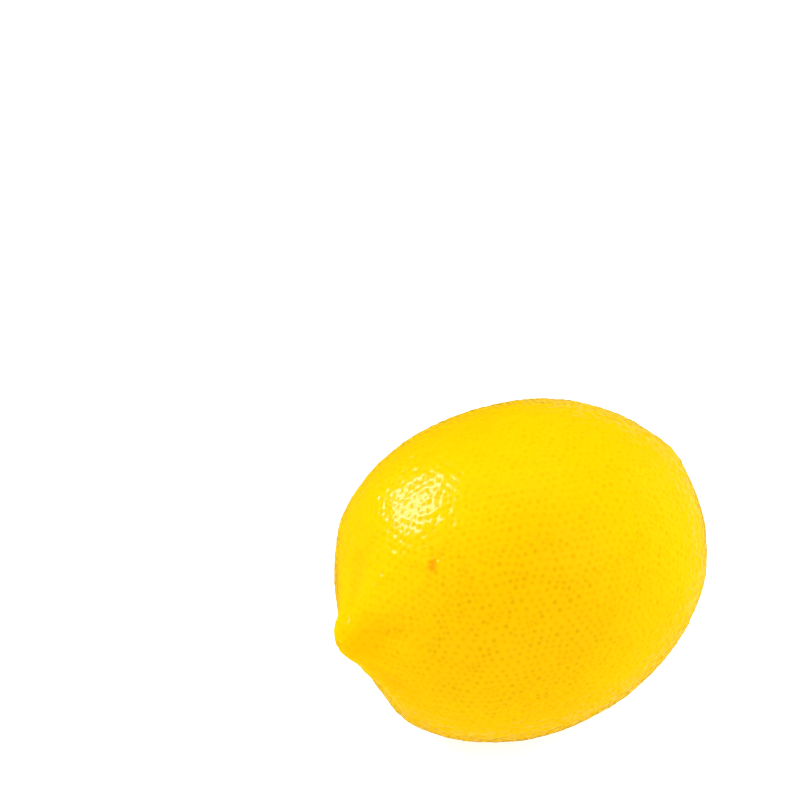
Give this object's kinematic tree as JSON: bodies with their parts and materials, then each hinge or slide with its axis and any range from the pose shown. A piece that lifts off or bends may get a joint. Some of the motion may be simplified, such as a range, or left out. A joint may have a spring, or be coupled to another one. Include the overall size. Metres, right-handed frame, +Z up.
{
  "type": "lemon",
  "caption": "Whole ripe lemon as picked: oval fruit with a blunt nipple at one end and a dished stem end that keeps its dried calyx button.",
  "frame": {"origin": "middle of the small flat spot under the belly on which the fruit rests", "axes": "+Z up, out of the surface that the fruit rests on; +X level, over the fruit's long axis and towards the stem end, so the nipple points towards -X and a little down"},
  "size_m": [0.0756, 0.0595, 0.0605],
  "materials": {
    "peel": "waxy lemon-yellow peel, semi-gloss, pitted all over by oil glands about 1.4 mm apart, slightly deeper yellow in the pits",
    "dried_calyx": "dry olive-brown calyx lobes, with a paler cut face on the stub of the stalk"
  },
  "bodies": {
    "root": {"fruit": "peel", "calyx_button": "dried_calyx"}
  },
  "joints": []
}
